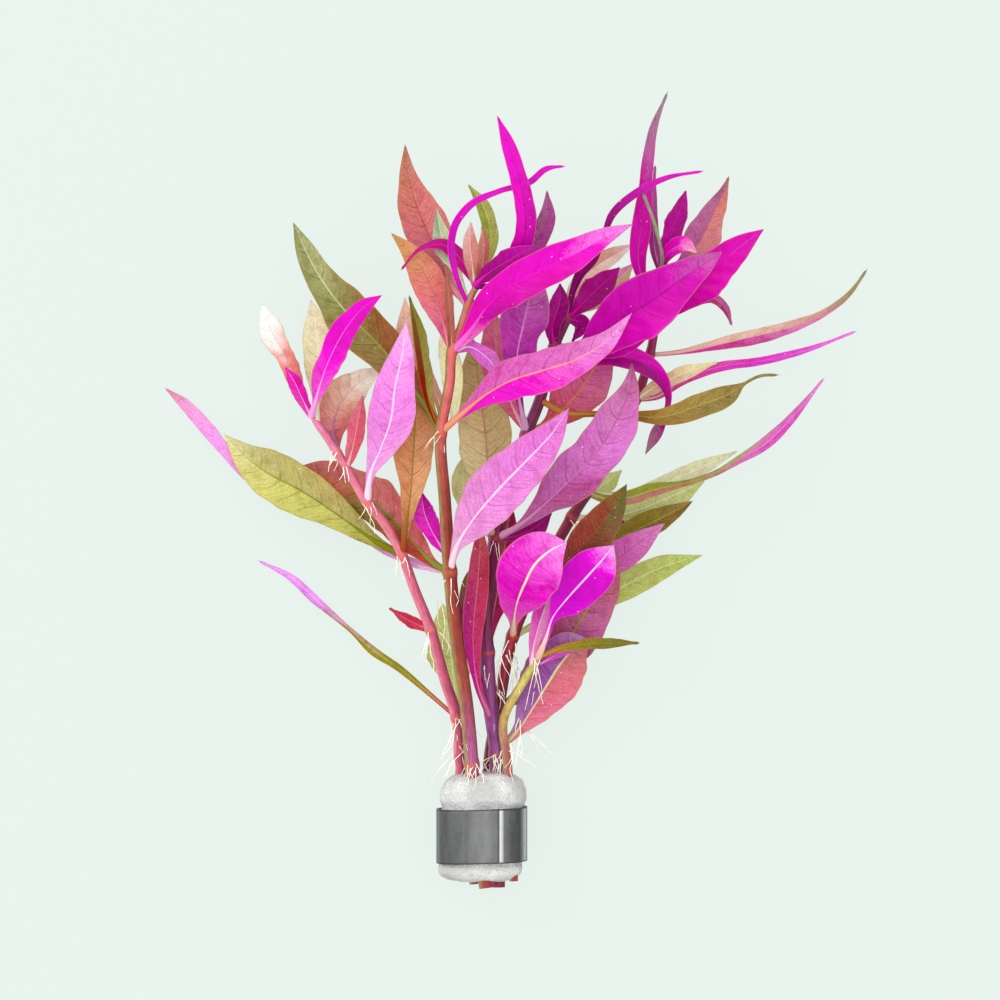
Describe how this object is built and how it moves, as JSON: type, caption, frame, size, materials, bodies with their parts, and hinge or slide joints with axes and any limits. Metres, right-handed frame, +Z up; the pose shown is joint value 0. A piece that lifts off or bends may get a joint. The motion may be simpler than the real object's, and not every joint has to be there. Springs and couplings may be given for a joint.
{
  "type": "alternanthera reineckii bunch",
  "caption": "Leafy bunch of a pink and magenta aquarium stem plant, lying on its back, its stems held by a foam wrap and a bent metal strip.",
  "frame": {"origin": "middle of the bunch's box at the height of the surface that it lies on", "axes": "+Y from the cut stem ends to the leaf tips, +X to the bunch's right as the camera sees it, +Z up from the surface"},
  "size_m": [0.1757, 0.1957, 0.059],
  "materials": {
    "leaf_magenta": "thin living blade, vivid magenta with darker net veins, satin",
    "leaf_lilac": "thin living blade, pale lilac pink with a pale midrib, satin",
    "leaf_pink": "thin living blade, mottled pink and mauve, satin",
    "leaf_rose": "thin living blade, rose red with fine veins, satin",
    "leaf_salmon": "thin bleached blade, salmon to cream, satin",
    "leaf_cream": "thin bleached blade, pale cream, satin",
    "leaf_olive": "thin living blade, olive brown with a fine net of veins, satin",
    "leaf_green": "thin living blade, yellow green with an olive midrib, satin",
    "leaf_purple": "thin living blade, dark purple, satin",
    "stem_rose": "fleshy stem with fine lengthwise ribs, moist satin",
    "stem_brown": "fleshy stem with fine lengthwise ribs, moist satin",
    "stem_purple": "fleshy stem with fine lengthwise ribs, moist satin",
    "stem_dark_red": "fleshy stem with fine lengthwise ribs, moist satin",
    "stem_olive": "fleshy stem with fine lengthwise ribs, moist satin",
    "foam": "open-cell foam, off-white with grey and white specks, matte",
    "metal_strip": "soft rolled zinc-grey strip with fine scratches, dull"
  },
  "bodies": {
    "root": {"foam_wrap": "foam", "metal_strip": "metal_strip", "stem_left": "stem_rose", "stem_front": "stem_brown", "stem_centre": "stem_purple", "stem_right": "stem_dark_red", "stem_short": "stem_olive", "leaf_left_10": "leaf_magenta", "leaf_front_9": "leaf_magenta", "leaf_front_11": "leaf_magenta", "leaf_front_12": "leaf_magenta", "leaf_centre_10": "leaf_magenta", "leaf_centre_11": "leaf_magenta", "leaf_centre_13": "leaf_magenta", "leaf_right_13": "leaf_magenta", "leaf_right_14": "leaf_magenta", "leaf_short_1": "leaf_magenta", "leaf_left_1": "leaf_lilac", "leaf_left_5": "leaf_lilac", "leaf_front_2": "leaf_lilac", "leaf_front_4": "leaf_pink", "leaf_centre_1": "leaf_pink", "leaf_centre_5": "leaf_pink", "leaf_centre_9": "leaf_pink", "leaf_right_1": "leaf_pink", "leaf_right_4": "leaf_pink", "leaf_right_10": "leaf_pink", "leaf_front_1": "leaf_rose", "leaf_centre_3": "leaf_rose", "leaf_centre_4": "leaf_rose", "leaf_centre_7": "leaf_rose", "leaf_centre_8": "leaf_rose", "leaf_right_17": "leaf_rose", "leaf_right_15": "leaf_rose", "leaf_left_7": "leaf_salmon", "leaf_left_9": "leaf_salmon", "leaf_front_8": "leaf_salmon", "leaf_front_10": "leaf_salmon", "leaf_centre_15": "leaf_salmon", "leaf_centre_16": "leaf_salmon", "leaf_right_12": "leaf_salmon", "leaf_left_8": "leaf_cream", "leaf_front_7": "leaf_cream", "leaf_right_8": "leaf_cream", "leaf_left_4": "leaf_olive", "leaf_front_5": "leaf_olive", "leaf_front_6": "leaf_olive", "leaf_centre_2": "leaf_olive", "leaf_centre_6": "leaf_olive", "leaf_centre_12": "leaf_olive", "leaf_right_3": "leaf_olive", "leaf_right_5": "leaf_olive", "leaf_short_3": "leaf_olive", "leaf_left_2": "leaf_green", "leaf_left_3": "leaf_green", "leaf_right_2": "leaf_green", "leaf_right_6": "leaf_green", "leaf_right_7": "leaf_green", "leaf_centre_14": "leaf_purple", "leaf_front_14": "leaf_purple"}
  },
  "joints": []
}
